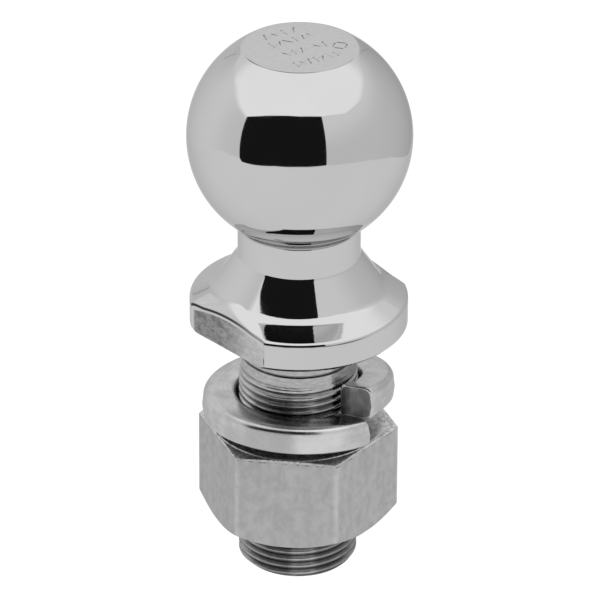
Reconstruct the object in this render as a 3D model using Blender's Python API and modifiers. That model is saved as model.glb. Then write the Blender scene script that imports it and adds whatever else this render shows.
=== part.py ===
"""Trailer hitch ball: a one-piece forged ball stud, its split lock washer and its hex nut.

Run with: blender --background --python part.py
Lengths are in metres. +Z is up along the shank and the shank's end face lies at z = 0.
The two wrench flats of the flange face -Y and +Y.
"""

import math

import bmesh
import bpy
from mathutils import Matrix

MM = 0.001
INCH = 25.4 * MM

# Ball: 2-5/16 inch, with a flat on top.
BALL_RADIUS = 2.3125 * INCH / 2
TOP_FLAT_RADIUS = 15.12 * MM
NECK_RADIUS = 15.9 * MM
BALL_FILLET = 3.0 * MM

# Shank: 2-3/4 inch long under the flange, 1-1/4 inch thread with 12 turns to the inch.
SHANK_LENGTH = 2.75 * INCH
BALL_CENTRE = SHANK_LENGTH + 54.6 * MM
THREAD_RADIUS = 15.8 * MM
THREAD_PITCH = INCH / 12
THREAD_DEPTH = 1.2 * MM
THREAD_CREST = 0.3 * MM
THREAD_TOP = 57.5 * MM
THREAD_GAP = 0.15 * MM
FLANK_SLOPE = math.tan(math.radians(30))
# The thread's facets start a little round from +X, so that none falls on a turned facet's edge.
THREAD_TURN = math.radians(3)
RELIEF_RADIUS = 15.4 * MM
END_CHAMFER = 1.5 * MM

# Flange: an ogee from the neck out to an upright rim, with two opposite wrench flats.
RIM_RADIUS = 28.7 * MM
RIM_TOP = SHANK_LENGTH + 7.85 * MM
RIM_EDGE = 0.35 * MM
RIM_CHAMFER = 1.15 * MM
FLARE_START = SHANK_LENGTH + 21.4 * MM
FLARE_RADIUS = 3.6 * MM
FLARE_ANGLE = 35.3
SHOULDER_RADIUS = 6.7 * MM
SHOULDER_ANGLE = 62.0
DOME_RADIUS = 8.8 * MM
DOME_ANGLE = 57.0
ACROSS_FLATS = 49.6 * MM

# Nut: 1-7/8 inch nominal across flats at the low end of its tolerance, 1-1/16 inch thick.
NUT_ACROSS_FLATS = 46.4 * MM
NUT_THICKNESS = 27.0 * MM
NUT_BOTTOM = 14.0 * MM
NUT_TOP_FACE = 23.4 * MM
NUT_BOTTOM_FACE = 23.1 * MM
NUT_TOP_ANGLE = math.radians(28)
NUT_BOTTOM_ANGLE = math.radians(35)
NUT_BORE = THREAD_RADIUS - THREAD_DEPTH + 0.35 * MM
NUT_COUNTERSINK = 16.4 * MM
NUT_TURN = math.radians(10.6)

# Lock washer: a left-hand spring coil of one turn, lying a little tilted on the nut.
WASHER_INNER = 16.6 * MM
WASHER_OUTER = 25.25 * MM
WASHER_THICKNESS = 7.4 * MM
WASHER_EDGE = 0.7 * MM
WASHER_UPPER_END = math.radians(8.2)
WASHER_SWEEP = math.radians(358)
WASHER_RISE = 8.5 * MM
WASHER_TILT = 0.124
WASHER_TILT_DIRECTION = math.radians(-30.8)
WASHER_UPTURN = 1.2 * MM
WASHER_UPTURN_SWEEP = math.radians(55)
WASHER_SEAT = 43.33 * MM

TURNED_STEPS = 48
THREAD_STEPS = 24
CLEAR = 2 * MM


def clear_scene():
    """Remove whatever objects the open scene holds."""
    for thing in list(bpy.data.objects):
        bpy.data.objects.remove(thing, do_unlink=True)


def new_collection(name):
    """A collection linked to the scene."""
    collection = bpy.data.collections.new(name)
    bpy.context.scene.collection.children.link(collection)
    return collection


def metal(name, colour, roughness):
    """A metallic Principled material."""
    material = bpy.data.materials.new(name)
    material.use_nodes = True
    shader = material.node_tree.nodes["Principled BSDF"]
    shader.inputs["Base Color"].default_value = (*colour, 1.0)
    shader.inputs["Metallic"].default_value = 1.0
    shader.inputs["Roughness"].default_value = roughness
    return material


def arc(centre, radius, start, end, count):
    """Points on an arc in the (radius, height) plane; angles are in degrees from outward."""
    points = []
    for i in range(count + 1):
        angle = math.radians(start + (end - start) * i / count)
        points.append((centre[0] + radius * math.cos(angle), centre[1] + radius * math.sin(angle)))
    return points


def wire(name, points, closed, collection):
    """An object whose mesh is a line of edges through (radius, height) points at +X."""
    count = len(points)
    edges = [(i, i + 1) for i in range(count - 1)]
    if closed:
        edges.append((count - 1, 0))
    mesh = bpy.data.meshes.new(name)
    mesh.from_pydata([(radius, 0.0, height) for radius, height in points], edges, [])
    thing = bpy.data.objects.new(name, mesh)
    collection.objects.link(thing)
    return thing


def turned(name, outline, collection):
    """A solid of revolution from an outline that starts and ends on the axis."""
    thing = wire(name, outline, False, collection)
    screw = thing.modifiers.new("turn", "SCREW")
    screw.steps = TURNED_STEPS
    screw.render_steps = TURNED_STEPS
    screw.use_merge_vertices = True
    screw.merge_threshold = 0.00001
    return thing


def bake(thing, turn):
    """Turn the object's modifiers into a plain mesh, turned round +Z by this angle."""
    evaluated = thing.evaluated_get(bpy.context.evaluated_depsgraph_get())
    mesh = bpy.data.meshes.new_from_object(evaluated)
    mesh.transform(Matrix.Rotation(turn, 4, "Z"))
    thing.modifiers.clear()
    thing.data = mesh


def wound(name, section, start, sweep, rise, collection):
    """A closed bar: the section swept round +Z from start, through sweep and rise."""
    thing = wire(name, section, True, collection)
    screw = thing.modifiers.new("wind", "SCREW")
    screw.angle = sweep
    screw.screw_offset = rise
    screw.steps = TURNED_STEPS
    screw.render_steps = TURNED_STEPS
    bake(thing, start)
    shape = bmesh.new()
    shape.from_mesh(thing.data)
    ends = [edge for edge in shape.edges if edge.is_boundary]
    bmesh.ops.holes_fill(shape, edges=ends, sides=len(section))
    bmesh.ops.recalc_face_normals(shape, faces=shape.faces)
    shape.to_mesh(thing.data)
    shape.free()
    return thing


def combine(target, other, operation):
    """Cut, join or trim the target with another object, which stays as a hidden helper."""
    step = target.modifiers.new(other.name, "BOOLEAN")
    step.operation = operation
    step.solver = "EXACT"
    step.object = other
    other.display_type = "WIRE"
    other.hide_render = True


def ogee_outline():
    """The flange's top from the neck to the rim: flare, cone, shoulder and dome, each tangent."""
    flare = arc((NECK_RADIUS + FLARE_RADIUS, FLARE_START), FLARE_RADIUS, 180, 180 + FLARE_ANGLE, 5)
    shoulder = arc((0, 0), SHOULDER_RADIUS, 180 + FLARE_ANGLE, 180 + SHOULDER_ANGLE, 4)
    dome = arc((0, 0), DOME_RADIUS, SHOULDER_ANGLE, DOME_ANGLE, 3)
    # The two straight stretches make up what the arcs leave between the flare and the rim.
    rim = (RIM_RADIUS - RIM_EDGE, RIM_TOP)
    left = [
        rim[i] - flare[-1][i] - (shoulder[-1][i] - shoulder[0][i]) - (dome[-1][i] - dome[0][i])
        for i in (0, 1)
    ]
    first = math.radians(FLARE_ANGLE)
    second = math.radians(SHOULDER_ANGLE)
    across = math.sin(second - first)
    cone_length = (left[1] * math.sin(second) + left[0] * math.cos(second)) / -across
    land_length = (left[0] * math.cos(first) + left[1] * math.sin(first)) / across
    points = list(flare)
    cone_end = (
        flare[-1][0] + cone_length * math.sin(first),
        flare[-1][1] - cone_length * math.cos(first),
    )
    points += moved_to(shoulder, cone_end)
    dome_start = (
        points[-1][0] + land_length * math.sin(second),
        points[-1][1] - land_length * math.cos(second),
    )
    points += moved_to(dome, dome_start)
    return points


def moved_to(points, start):
    """The same points, moved so that the first one lies at start."""
    shift = (start[0] - points[0][0], start[1] - points[0][1])
    return [(radius + shift[0], height + shift[1]) for radius, height in points]


def stud_outline():
    """The forging's outline from the top flat down to where its thread begins."""
    flat_angle = math.degrees(math.acos(TOP_FLAT_RADIUS / BALL_RADIUS))
    reach = BALL_RADIUS + BALL_FILLET
    fillet_radius = NECK_RADIUS + BALL_FILLET
    fillet_drop = math.sqrt(reach**2 - fillet_radius**2)
    meeting = -math.degrees(math.atan2(fillet_drop, fillet_radius))
    outline = [(0, BALL_CENTRE + math.sqrt(BALL_RADIUS**2 - TOP_FLAT_RADIUS**2))]
    outline += arc((0, BALL_CENTRE), BALL_RADIUS, flat_angle, meeting, 16)
    outline += arc((fillet_radius, BALL_CENTRE - fillet_drop), BALL_FILLET, meeting + 180, 180, 3)[1:]
    outline += ogee_outline()
    outline += [
        (RIM_RADIUS, RIM_TOP - RIM_EDGE),
        (RIM_RADIUS, SHANK_LENGTH + RIM_CHAMFER),
        (RIM_RADIUS - RIM_CHAMFER, SHANK_LENGTH),
        (RELIEF_RADIUS, SHANK_LENGTH),
        (RELIEF_RADIUS, THREAD_TOP),
        (RELIEF_RADIUS - CLEAR, THREAD_TOP - CLEAR),
        (0, THREAD_TOP - CLEAR),
    ]
    return outline


def threaded_rod(name, crest_radius, crest_width, root_radius, bottom, top, collection):
    """A closed rod with a right-hand thread that reaches at least from bottom to top.

    Every rod's ridge crosses the +X side at the same heights, one pitch apart, so a tap made by
    this function is in step with the shank.
    """
    crest = crest_width / 2
    root = crest + (crest_radius - root_radius) * FLANK_SLOPE
    first = math.floor((bottom - THREAD_PITCH) / THREAD_PITCH) * THREAD_PITCH
    turns = math.ceil((top + THREAD_PITCH - first) / THREAD_PITCH)
    ridge = [
        (root_radius, first - root),
        (crest_radius, first - crest),
        (crest_radius, first + crest),
        (root_radius, first + root),
        (root_radius, first + THREAD_PITCH - root),
    ]
    rod = wire(name, ridge, False, collection)
    screw = rod.modifiers.new("wind", "SCREW")
    screw.screw_offset = THREAD_PITCH
    screw.iterations = turns
    screw.steps = THREAD_STEPS
    screw.render_steps = THREAD_STEPS
    bake(rod, THREAD_TURN)
    shape = bmesh.new()
    shape.from_mesh(rod.data)
    # Each turn's upper edge is the next turn's lower edge.
    bmesh.ops.remove_doubles(shape, verts=shape.verts, dist=0.00001)
    middle = first + turns * THREAD_PITCH / 2
    tips = {
        -1: shape.verts.new((0, 0, first - CLEAR)),
        1: shape.verts.new((0, 0, first + (turns + 1) * THREAD_PITCH + CLEAR)),
    }
    for edge in [edge for edge in shape.edges if edge.is_boundary]:
        side = 1 if edge.verts[0].co.z > middle else -1
        shape.faces.new((edge.verts[0], edge.verts[1], tips[side]))
    bmesh.ops.recalc_face_normals(shape, faces=shape.faces)
    shape.to_mesh(rod.data)
    shape.free()
    return rod


def make_thread(helpers):
    """The shank's thread, chamfered at the end face and run out under the relief."""
    rod = threaded_rod(
        "thread", THREAD_RADIUS, THREAD_CREST, THREAD_RADIUS - THREAD_DEPTH, 0, THREAD_TOP, helpers
    )
    envelope = [
        (0, THREAD_TOP + CLEAR),
        (THREAD_RADIUS - CLEAR, THREAD_TOP + CLEAR),
        (THREAD_RADIUS + CLEAR, THREAD_TOP - CLEAR),
        (THREAD_RADIUS + CLEAR, END_CHAMFER + CLEAR),
        (THREAD_RADIUS - END_CHAMFER, 0),
        (0, 0),
    ]
    combine(rod, turned("thread_ends", envelope, helpers), "INTERSECT")
    return rod


def make_stud(parts, helpers):
    """Ball, neck, flange and threaded shank, forged and machined in one piece."""
    stud = turned("ball_stud", stud_outline(), parts)
    combine(stud, make_thread(helpers), "UNION")
    block = 2 * RIM_RADIUS
    height = RIM_TOP - SHANK_LENGTH + 4 * CLEAR
    for side, name in ((-1, "front_flat"), (1, "back_flat")):
        bpy.ops.mesh.primitive_cube_add(size=1)
        cutter = bpy.context.object
        cutter.name = name
        cutter.scale = (block, block, height)
        cutter.location = (0, side * (ACROSS_FLATS + block) / 2, SHANK_LENGTH - CLEAR + height / 2)
        move_to_collection(cutter, helpers)
        combine(stud, cutter, "DIFFERENCE")
    return stud


def move_to_collection(thing, collection):
    """Keep the object in this collection only."""
    for other in list(thing.users_collection):
        other.objects.unlink(thing)
    collection.objects.link(thing)


def make_nut(parts, helpers):
    """Hex nut chamfered on both faces, with its thread in step with the shank's."""
    top = NUT_BOTTOM + NUT_THICKNESS
    corner = NUT_ACROSS_FLATS / 2 / math.cos(math.radians(30))
    bpy.ops.mesh.primitive_cylinder_add(vertices=6, radius=corner, depth=NUT_THICKNESS)
    nut = bpy.context.object
    nut.name = "hex_nut"
    nut.location = (0, 0, NUT_BOTTOM + NUT_THICKNESS / 2)
    nut.rotation_euler = (0, 0, NUT_TURN)
    move_to_collection(nut, parts)
    wide = corner + CLEAR
    envelope = [
        (0, top),
        (NUT_TOP_FACE, top),
        (wide, top - (wide - NUT_TOP_FACE) * math.tan(NUT_TOP_ANGLE)),
        (wide, NUT_BOTTOM + (wide - NUT_BOTTOM_FACE) * math.tan(NUT_BOTTOM_ANGLE)),
        (NUT_BOTTOM_FACE, NUT_BOTTOM),
        (0, NUT_BOTTOM),
    ]
    combine(nut, turned("nut_chamfers", envelope, helpers), "INTERSECT")
    # The countersinks meet in a waist inside the tapped hole, clear of its wall.
    waist = NUT_BORE - CLEAR
    depth = NUT_COUNTERSINK - waist
    sinks = [
        (0, top + CLEAR),
        (NUT_COUNTERSINK + CLEAR, top + CLEAR),
        (waist, top - depth),
        (waist, NUT_BOTTOM + depth),
        (NUT_COUNTERSINK + CLEAR, NUT_BOTTOM - CLEAR),
        (0, NUT_BOTTOM - CLEAR),
    ]
    combine(nut, turned("nut_countersinks", sinks, helpers), "DIFFERENCE")
    tap = threaded_rod(
        "nut_tap",
        THREAD_RADIUS + 2 * THREAD_GAP,
        THREAD_CREST + 2 * THREAD_GAP - 4 * THREAD_GAP * FLANK_SLOPE,
        NUT_BORE,
        NUT_BOTTOM,
        top,
        helpers,
    )
    combine(nut, tap, "DIFFERENCE")
    return nut


def make_washer(parts):
    """Split lock washer: one open turn, sprung up at its upper end and tilted where it lies."""
    half = WASHER_THICKNESS / 2
    edge = WASHER_EDGE
    section = [
        (WASHER_INNER + edge, half),
        (WASHER_OUTER - edge, half),
        (WASHER_OUTER, half - edge),
        (WASHER_OUTER, edge - half),
        (WASHER_OUTER - edge, -half),
        (WASHER_INNER + edge, -half),
        (WASHER_INNER, edge - half),
        (WASHER_INNER, half - edge),
    ]
    washer = wound("lock_washer", section, WASHER_UPPER_END, WASHER_SWEEP, -WASHER_RISE, parts)
    height = WASHER_SEAT + WASHER_RISE
    for vertex in washer.data.vertices:
        place = vertex.co
        angle = math.atan2(place.y, place.x)
        # One degree of slack keeps the end's own vertices from counting as a whole turn away.
        slack = math.radians(1)
        swept = (angle - WASHER_UPPER_END + slack) % math.tau - slack
        spring = max(0.0, 1 - swept / WASHER_UPTURN_SWEEP)
        reach = math.hypot(place.x, place.y)
        lean = WASHER_TILT * reach * math.cos(angle - WASHER_TILT_DIRECTION)
        place.z += height + WASHER_UPTURN * spring**2 + lean
    return washer


def main():
    clear_scene()
    parts = new_collection("trailer_hitch_ball")
    helpers = new_collection("cutters")
    chrome = metal("chrome_plate", (0.55, 0.55, 0.56), 0.06)
    zinc = metal("zinc_plate", (0.52, 0.52, 0.51), 0.32)
    steel = metal("plain_steel", (0.46, 0.46, 0.45), 0.42)
    make_stud(parts, helpers).data.materials.append(chrome)
    make_washer(parts).data.materials.append(zinc)
    make_nut(parts, helpers).data.materials.append(steel)


main()
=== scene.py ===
"""Trailer hitch ball: the looks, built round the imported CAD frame.

The ball stud, its lock washer and its hex nut are each one real piece, so each is one mesh too.
Lengths are in metres, +Z is up along the shank and the wrench flats face -Y and +Y.
"""

import math

import bmesh
import bpy
from mathutils import Matrix, Vector

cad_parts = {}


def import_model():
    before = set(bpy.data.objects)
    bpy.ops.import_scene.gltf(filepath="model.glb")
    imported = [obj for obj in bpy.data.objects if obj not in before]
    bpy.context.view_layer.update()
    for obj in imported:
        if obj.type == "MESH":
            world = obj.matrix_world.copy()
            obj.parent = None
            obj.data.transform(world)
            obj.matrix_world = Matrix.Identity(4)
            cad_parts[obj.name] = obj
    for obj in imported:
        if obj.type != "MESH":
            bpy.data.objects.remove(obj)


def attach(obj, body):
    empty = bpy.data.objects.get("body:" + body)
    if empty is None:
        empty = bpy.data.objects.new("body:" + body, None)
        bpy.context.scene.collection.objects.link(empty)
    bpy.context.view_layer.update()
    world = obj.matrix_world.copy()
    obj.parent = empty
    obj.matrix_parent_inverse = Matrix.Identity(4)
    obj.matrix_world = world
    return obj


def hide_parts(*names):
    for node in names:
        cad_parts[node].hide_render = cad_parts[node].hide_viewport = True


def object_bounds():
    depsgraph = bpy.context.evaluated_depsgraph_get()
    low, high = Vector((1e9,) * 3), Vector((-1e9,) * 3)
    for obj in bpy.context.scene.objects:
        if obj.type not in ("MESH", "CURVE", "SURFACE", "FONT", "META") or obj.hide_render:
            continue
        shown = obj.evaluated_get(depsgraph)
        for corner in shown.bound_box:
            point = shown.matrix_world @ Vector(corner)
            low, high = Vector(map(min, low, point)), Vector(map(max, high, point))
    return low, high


MM = 0.001
INCH = 25.4 * MM
TURN = math.tau
MERGE_DISTANCE = 1e-7

# Ball stud.
BALL_RADIUS = 2.3125 * INCH / 2
TOP_FLAT_RADIUS = 15.12 * MM
TOP_EDGE = 0.35 * MM
TOP_BREAK_DEGREES = 0.7
NECK_RADIUS = 16.1 * MM
BALL_FILLET = 3.0 * MM
SHANK_LENGTH = 2.75 * INCH
BALL_CENTRE = SHANK_LENGTH + 54.6 * MM
TOP_HEIGHT = BALL_CENTRE + math.sqrt(BALL_RADIUS**2 - TOP_FLAT_RADIUS**2)
RIM_RADIUS = 28.7 * MM
RIM_TOP = SHANK_LENGTH + 8.15 * MM
RIM_EDGE = 0.8 * MM
RIM_EDGE_DROP = 0.85 * MM
RIM_CHAMFER = 1.15 * MM
LEAST_CHAMFER = 0.3 * MM
FLAT_EDGE = 3.4 * MM
FLAT_EDGE_DROP = 1.5 * MM
FLAT_EDGE_BLEND = 1.8
FLAT_DISTANCE = 24.8 * MM
FLAT_TOLERANCE = 0.005 * MM
FLARE_START = SHANK_LENGTH + 21.2 * MM
# The flange's top from neck to rim: degrees from plumb at each arc's start and end, and its
# radius in millimetres.
OGEE_ARCS = ((0, 30.0, 2.2), (30.0, 32.5, 245.0), (32.5, 59.5, 5.8), (59.5, 60.2, 500.0))
OGEE_STEPS = 14
OGEE_SLOPE = math.tan(math.radians(30))
SHARED_FLANGE_RADIUS = 21 * MM
UNDERSIDE_RINGS = (22 * MM, 19 * MM, 17 * MM)
SHANK_RADIUS = 15.4 * MM
SHANK_FILLET = 0.7 * MM
SHANK_SWELL = 5 * MM
END_CHAMFER = 1.5 * MM
END_EDGE = 0.2 * MM
END_RINGS = (12 * MM, 6 * MM)
GROOVE_HEIGHT = 61.3 * MM
GROOVE_WIDTH = 0.9 * MM
GROOVE_DEPTH = 0.5 * MM
GROOVE_HEAD_SLOPE = 0.1 * MM
GROOVE_FOOT_SLOPE = 0.25 * MM

# Thread. Its shape is the depth in millimetres at each share of a pitch away from the crest.
THREAD_RADIUS = 15.8 * MM
THREAD_PITCH = INCH / 12
THREAD_START = math.radians(3)
THREAD_TOP = 53.8 * MM
THREAD_RUNOUT = 4.8 * MM
THREAD_SHAPE = (
    (0.0, 0.0),
    (0.09, 0.01),
    (0.15, 0.07),
    (0.22, 0.33),
    (0.38, 0.9),
    (0.43, 1.0),
    (0.5, 1.03),
)
THREAD_CLEARANCE = 0.27 * MM

# Nut.
NUT_APOTHEM = 23.2 * MM
NUT_CORNER = 0.7 * MM
NUT_EDGE = 0.3 * MM
NUT_THICKNESS = 26.65 * MM
NUT_BOTTOM = 14.0 * MM
NUT_TOP_FACE = 22.9 * MM
NUT_BOTTOM_FACE = 23.1 * MM
NUT_TOP_ANGLE = math.radians(7)
NUT_BOSS_HEIGHT = 0.22 * MM
# The boss's side as (way out, way down), in shares of its height.
NUT_BOSS_SIDE = ((0.35, 0.1), (0.75, 1.0))
NUT_BOTTOM_ANGLE = math.radians(35)
NUT_BORE = 14.95 * MM
NUT_COUNTERSINK = 16.4 * MM
NUT_LIP = 0.2 * (NUT_COUNTERSINK - NUT_BORE)
NUT_TURN = math.radians(10.6)
# Columns round each side, in degrees: close together at the corners and wider between them.
NUT_HALF_SIDE = 30
NUT_CORNER_STEP = 0.35
NUT_CORNER_COLUMNS = 9
NUT_SIDE_REACH = 26.8
NUT_SIDE_COLUMNS = 27

# Lock washer.
WASHER_INNER = 16.6 * MM
WASHER_OUTER = 25.25 * MM
WASHER_THICKNESS = 7.9 * MM
WASHER_UPPER_END = math.radians(8.2)
WASHER_SWEEP = math.radians(359.8)
WASHER_RISE = 8.5 * MM
WASHER_TILT = 0.124
WASHER_TILT_DIRECTION = math.radians(-30.8)
WASHER_UPTURN = 0.7 * MM
WASHER_UPTURN_SWEEP = math.radians(55)
WASHER_BULGE = 0.25 * MM
WASHER_BULGE_PLACE = 0.4
WASHER_BURR = 1.5 * MM
WASHER_BURR_SWEEP = math.radians(24)
WASHER_SEAT = 43.08 * MM
# Corner sizes: upper outer, lower outer, lower inner, upper inner.
WASHER_CORNERS = (2.4 * MM, 1.4 * MM, 0.9 * MM, 1.6 * MM)
WASHER_COLUMNS = 240
WASHER_END_EDGE = 0.45 * MM
# The rounding of each end as (way along the edge, way drawn in), in shares of its size.
WASHER_END_ROUNDING = ((0.0, 1.0), (0.08, 0.6), (0.35, 0.25), (1.0, 0.0))
WASHER_END_SKEW = math.radians(9)
WASHER_END_SLANT = math.radians(2.8)

# Studio. Its axes are the camera's: right, towards the camera, and up.
CAMERA_AZIMUTH = math.radians(48.17)
CAMERA_ELEVATION = math.radians(28.349)
CAMERA_DISTANCE = 1.401
CAMERA_LENS = 320.2
CAMERA_SENSOR = 36
CAMERA_CLIP = (0.05, 20)
CAMERA_ROLL = math.radians(0.307)
CAMERA_SIDESTEP = 0.3 * MM
CAMERA_AIM = 1.26 * MM
RIGHT = Vector((math.cos(CAMERA_AZIMUTH), math.sin(CAMERA_AZIMUTH), 0))
TOWARD = Vector((math.sin(CAMERA_AZIMUTH), -math.cos(CAMERA_AZIMUTH), 0))
UP = Vector((0, 0, 1))
CEILING = BALL_CENTRE + 0.78
PANEL_STEPS = 32
CURTAIN_STEPS = 24
PANEL_GAP = 0.001
FLOOR_REACH = 4.0
FLOOR_LEVEL = 0.97
FLOOR_REFLECTED = 0.96
BACKDROP_REFLECTED = 0.95
BACKDROP_SEEN = 1.05
# How bright the studio is in the metal, against the white of the backdrop.
STUDIO_LEVEL = 0.8

# Mesh columns round the ball stud, and steps down its ball and out along its flange.
TURNED_COLUMNS = 288
BALL_STEPS = 96
FLANGE_STEPS = 24
RIM_STEPS = 12

# Looks. Bearings are in degrees from +X: the side where highlights are painted, and the front
# beside it.
PAINTED_LIGHT_BEARING = 48
FRONT_BEARING = PAINTED_LIGHT_BEARING - 90
CORNER_RISE = RIM_TOP + RIM_RADIUS * OGEE_SLOPE
MILLED_BORDER = 1.9 * MM
EDGE_TINT = 0.72
AROUND_SCALE = 0.02
LINE_CORE = 0.45


# Meshes


def mix(a, b, share):
    return a + (b - a) * share


def smooth(share):
    share = min(1.0, max(0.0, share))
    return share * share * (3 - 2 * share)


def arc(centre, radius, start, end, count):
    """Points on an arc in the (radius, height) plane; angles are in degrees from outward."""
    points = []
    for i in range(count + 1):
        angle = math.radians(mix(start, end, i / count))
        points.append((centre[0] + radius * math.cos(angle), centre[1] + radius * math.sin(angle)))
    return points


def rounded(start, corner, end, count=4):
    """Points of a soft corner from start to end that leans towards the corner point."""
    points = []
    for i in range(count + 1):
        t = i / count
        pull = zip(start, corner, end)
        points.append(tuple((1 - t) ** 2 * a + 2 * t * (1 - t) * b + t * t * c for a, b, c in pull))
    return points


def along(points, radius):
    """Height of an outline at this radius; the outline runs outwards."""
    for (r0, z0), (r1, z1) in zip(points, points[1:]):
        if r1 >= radius:
            return mix(z0, z1, (radius - r0) / (r1 - r0))
    (r0, z0), (r1, z1) = points[-2:]
    return mix(z0, z1, (radius - r0) / (r1 - r0))


def at(radius, angle, height):
    return (radius * math.cos(angle), radius * math.sin(angle), height)


def join_columns(shape, columns):
    """Add faces between neighbouring columns of points and return their vertices."""
    rows = [[shape.verts.new(point) for point in column] for column in columns]
    for left, right in zip(rows, rows[1:]):
        for i in range(len(left) - 1):
            shape.faces.new((left[i], left[i + 1], right[i + 1], right[i]))
    return rows


def with_angles(count, special):
    """Even angles round the circle, the nearest of them moved onto each special angle."""
    angles = [TURN * i / count for i in range(count + 1)]
    for angle in special:
        nearest = min(range(1, count), key=lambda i: abs(angles[i] - angle % TURN))
        angles[nearest] = angle % TURN
    return angles


def piece(name, shape, body, node, materials, sharp):
    """Make the bmesh into the shown piece that stands for a CAD node."""
    bmesh.ops.remove_doubles(shape, verts=shape.verts, dist=MERGE_DISTANCE)
    bmesh.ops.recalc_face_normals(shape, faces=shape.faces)
    mesh = bpy.data.meshes.new(name)
    shape.to_mesh(mesh)
    shape.free()
    mesh.polygons.foreach_set("use_smooth", [True] * len(mesh.polygons))
    mesh.set_sharp_from_angle(angle=math.radians(sharp))
    for material in materials:
        mesh.materials.append(material)
    thing = bpy.data.objects.new(name, mesh)
    bpy.context.scene.collection.objects.link(thing)
    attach(thing, body)
    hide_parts(node)


# Thread


def thread_column(angle, top, bottom):
    """Heights and depths of one thread column from top down to bottom."""
    lift = THREAD_PITCH * (angle - THREAD_START) / TURN
    shape = [(share, depth) for share, depth in THREAD_SHAPE[1:]]
    shape = [(-share, depth) for share, depth in reversed(shape[:-1])] + [THREAD_SHAPE[0]] + shape
    highest = math.ceil(top / THREAD_PITCH) + 1
    lowest = math.floor(bottom / THREAD_PITCH) - 2
    column = []
    for ridge in range(highest, lowest, -1):
        for share, depth in shape:
            column.append(((ridge - share) * THREAD_PITCH + lift, depth * MM))
    return clipped(column, top, bottom)


def clipped(column, top, bottom):
    """The same column with whatever lies beyond top and bottom drawn onto them."""
    result = []
    for i, (height, depth) in enumerate(column):
        neighbour = column[i + 1] if height > top and i + 1 < len(column) else column[i - 1]
        limit = min(top, max(bottom, height))
        if limit != height and (neighbour[0] - limit) * (height - limit) < 0:
            share = (limit - height) / (neighbour[0] - height)
            depth = mix(depth, neighbour[1], share)
        result.append((limit, depth))
    edge_top = next(d for h, d in result[::-1] if h >= top)
    edge_bottom = next(d for h, d in result if h <= bottom)
    return [
        (h, edge_top if h >= top else edge_bottom if h <= bottom else d) for h, d in result
    ]


# Ball stud


def ogee_outline():
    """The flange's top from the neck to the rim, stretched a little to meet the rim."""
    points = [(NECK_RADIUS, FLARE_START)]
    for start, end, radius in OGEE_ARCS:
        step = radius * MM * math.radians(abs(end - start)) / OGEE_STEPS
        for i in range(OGEE_STEPS):
            angle = math.radians(mix(start, end, (i + 0.5) / OGEE_STEPS))
            last = points[-1]
            points.append((last[0] + step * math.sin(angle), last[1] - step * math.cos(angle)))
    last = points[-1]
    wider = (RIM_RADIUS - NECK_RADIUS) / (last[0] - NECK_RADIUS)
    taller = (FLARE_START - RIM_TOP) / (FLARE_START - last[1])
    return [
        (NECK_RADIUS + (r - NECK_RADIUS) * wider, FLARE_START - (FLARE_START - h) * taller)
        for r, h in points
    ]


def upper_outline():
    """The forging from the top flat's edge down to the flange's top."""
    flat_angle = math.degrees(math.acos(TOP_FLAT_RADIUS / BALL_RADIUS))
    reach = BALL_RADIUS + BALL_FILLET
    fillet_radius = NECK_RADIUS + BALL_FILLET
    fillet_drop = math.sqrt(reach**2 - fillet_radius**2)
    meeting = -math.degrees(math.atan2(fillet_drop, fillet_radius))
    ball = arc((0, BALL_CENTRE), BALL_RADIUS, flat_angle - TOP_BREAK_DEGREES, meeting, BALL_STEPS)
    outline = rounded(
        (TOP_FLAT_RADIUS - TOP_EDGE, TOP_HEIGHT), (TOP_FLAT_RADIUS, TOP_HEIGHT), ball[0], 5
    )
    outline += ball[1:]
    fillet_centre = (fillet_radius, BALL_CENTRE - fillet_drop)
    outline += arc(fillet_centre, BALL_FILLET, meeting + 180, 180, 14)[1:]
    outline.append((NECK_RADIUS, mix(outline[-1][1], FLARE_START, 0.5)))
    return outline


def flange_column(ogee, angle):
    """The flange below its shared part, out to the rim or to a wrench flat, and in to the shank."""
    reach = min(RIM_RADIUS, FLAT_DISTANCE / max(abs(math.sin(angle)), 1e-6))
    inside = (RIM_RADIUS - reach) / (RIM_RADIUS - FLAT_DISTANCE)
    rolled = smooth(inside * FLAT_EDGE_BLEND)
    edge = mix(RIM_EDGE, FLAT_EDGE, rolled)
    points = []
    for i in range(1, FLANGE_STEPS + 1):
        radius = mix(SHARED_FLANGE_RADIUS, reach - edge, i / FLANGE_STEPS)
        points.append((radius, along(ogee, radius)))
    top = along(ogee, reach)
    drop = mix(RIM_EDGE_DROP, FLAT_EDGE_DROP, rolled)
    points += rounded(points[-1], (reach, top), (reach, top - drop), RIM_STEPS)[1:]
    chamfer = max(LEAST_CHAMFER, reach - (RIM_RADIUS - RIM_CHAMFER))
    foot = SHANK_LENGTH + chamfer
    for i in range(1, 7):
        points.append((reach, mix(top - drop, foot, i / 6)))
    points.append((reach - chamfer, SHANK_LENGTH))
    points += [(radius, SHANK_LENGTH) for radius in UNDERSIDE_RINGS]
    start = (SHANK_RADIUS + SHANK_FILLET, SHANK_LENGTH)
    end = (SHANK_RADIUS, SHANK_LENGTH - SHANK_FILLET)
    return points + rounded(start, (SHANK_RADIUS, SHANK_LENGTH), end, 5)


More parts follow.
